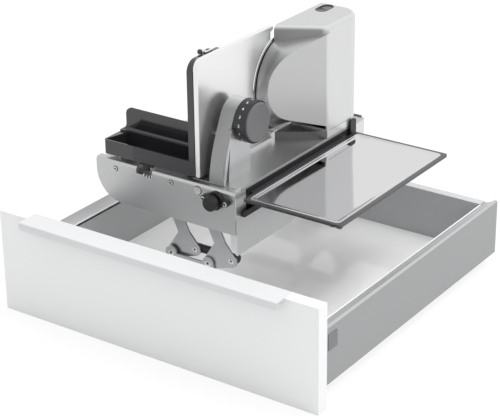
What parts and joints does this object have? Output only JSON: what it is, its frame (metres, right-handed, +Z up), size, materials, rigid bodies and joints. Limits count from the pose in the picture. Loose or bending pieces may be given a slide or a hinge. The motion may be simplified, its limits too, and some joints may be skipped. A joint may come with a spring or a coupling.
{
  "type": "built-in food slicer in a drawer",
  "caption": "Kitchen drawer with a food slicer that folds out on parallel arms, with a sliding carriage, round blade, thickness dial and slice tray.",
  "frame": {"origin": "bottom centre of the bounding box, on the floor plane of the drawer front", "axes": "+X to the right seen from the front, +Y to the back of the drawer, +Z up"},
  "size_m": [0.596, 0.597, 0.422],
  "materials": {
    "white_lacquer": "white high-gloss lacquer on board",
    "handle_white": "white gloss powder coat",
    "side_grey": "satin grey powder coat",
    "board_white": "white melamine",
    "back_grey": "grey melamine",
    "cover_grey": "matt",
    "zinc": "cast",
    "steel": "satin zinc plated",
    "tube_chrome": "polished",
    "dark_rod": "black oxide",
    "silver": "fine satin silver",
    "aluminium": "anodised satin",
    "black_plastic": "fine texture",
    "anthracite": "fine texture",
    "bush_plastic": "natural acetal",
    "blade_steel": "ground",
    "mirror_steel": "mirror polished stainless",
    "motor_steel": "plain"
  },
  "bodies": {
    "drawer": {"drawer_front": "white_lacquer", "handle_rail": "handle_white", "side_left": "side_grey", "side_right": "side_grey", "bottom_panel": "board_white", "back_panel": "back_grey", "side_covers": "cover_grey", "front_fixings": "zinc", "base_bracket_front": "steel", "base_bracket_rear": "steel", "base_pins": "steel", "base_screws": "steel"},
    "arms_left": {"arm_front_left": "steel", "arm_rear_left": "steel", "cross_tube_left": "tube_chrome", "sync_pin_left": "steel"},
    "arms_right": {"arm_front_right": "steel", "arm_rear_right": "steel", "cross_tube_right": "tube_chrome", "sync_pin_right": "steel"},
    "sync": {"sync_rod": "dark_rod"},
    "chassis": {"front_plate": "silver", "rear_plate": "silver", "side_skirt": "silver", "crossbeam_front": "aluminium", "crossbeam_rear": "aluminium", "tube_bushes": "bush_plastic", "guide_rod": "tube_chrome", "glide_rail": "aluminium", "deck_plate": "silver", "corner_bracket": "silver", "tray_rail": "black_plastic", "chassis_screws": "steel", "axle_disc": "silver", "release_housing": "black_plastic", "rear_post": "black_plastic", "housing_base": "silver", "motor_housing": "silver", "gear_plate": "silver", "switch_bezel": "anthracite", "motor": "motor_steel", "knob_holder": "silver", "tray_frame": "anthracite", "tray_insert": "mirror_steel"},
    "rotor": {"motor_rotor": "motor_steel"},
    "blade_unit": {"blade": "blade_steel", "blade_gear": "bush_plastic", "blade_screw": "blade_steel"},
    "knob": {"thickness_knob": "anthracite", "knob_spindle": "anthracite"},
    "stop": {"stop_plate": "silver", "stop_pins": "steel"},
    "carriage_unit": {"carriage": "anthracite", "carriage_fin": "anthracite", "carriage_catch": "black_plastic", "food_clip": "aluminium"},
    "switch": {"switch_button": "black_plastic"},
    "release": {"release_button": "black_plastic"}
  },
  "joints": [
    {"name": "fold", "type": "hinge", "parent": "drawer", "child": "arms_left", "pos_m": [-0.0972, -0.1005, 0.082], "axis": [0, 1, 0], "range_deg": [0, 80]},
    {"name": "fold_right", "type": "hinge", "parent": "drawer", "child": "arms_right", "pos_m": [-0.0242, -0.1005, 0.082], "axis": [0, 1, 0], "range_deg": [0, 80]},
    {"name": "chassis_level", "type": "hinge", "parent": "arms_left", "child": "chassis", "pos_m": [-0.1007, -0.1005, 0.176], "axis": [0, 1, 0], "range_deg": [-80, 0]},
    {"name": "sync_level", "type": "hinge", "parent": "arms_left", "child": "sync", "pos_m": [-0.0542, -0.0877, 0.0958], "axis": [0, 1, 0], "range_deg": [-80, 0]},
    {"name": "carriage_slide", "type": "slide", "parent": "chassis", "child": "carriage_unit", "axis": [0, 1, 0], "range_m": [0, 0.2]},
    {"name": "blade_spin", "type": "hinge", "parent": "chassis", "child": "blade_unit", "pos_m": [-0.044, 0.1395, 0.313], "axis": [1, 0, 0], "continuous": true},
    {"name": "rotor_spin", "type": "hinge", "parent": "chassis", "child": "rotor", "pos_m": [-0.0325, 0.17768, 0.35118], "axis": [1, 0, 0], "continuous": true},
    {"name": "knob_turn", "type": "hinge", "parent": "chassis", "child": "knob", "pos_m": [0.0025, -0.0325, 0.31], "axis": [1, 0, 0], "range_deg": [0, 300]},
    {"name": "stop_slide", "type": "slide", "parent": "chassis", "child": "stop", "axis": [1, 0, 0], "range_m": [0, 0.0125]},
    {"name": "switch_press", "type": "slide", "parent": "chassis", "child": "switch", "axis": [0, 0, -1], "range_m": [0, 0.002], "stiffness_N_per_m": 600, "springref_m": -0.001},
    {"name": "release_press", "type": "slide", "parent": "chassis", "child": "release", "axis": [0, 1, 0], "range_m": [0, 0.004], "stiffness_N_per_m": 800, "springref_m": -0.002}
  ],
  "couplings": [
    {"joint": "fold_right", "follows": "fold", "ratio": 1},
    {"joint": "chassis_level", "follows": "fold", "ratio": -1},
    {"joint": "sync_level", "follows": "fold", "ratio": -1},
    {"joint": "rotor_spin", "follows": "blade_spin", "ratio": -5},
    {"joint": "knob_turn", "follows": "stop_slide", "rad_per_m": 418.88}
  ]
}
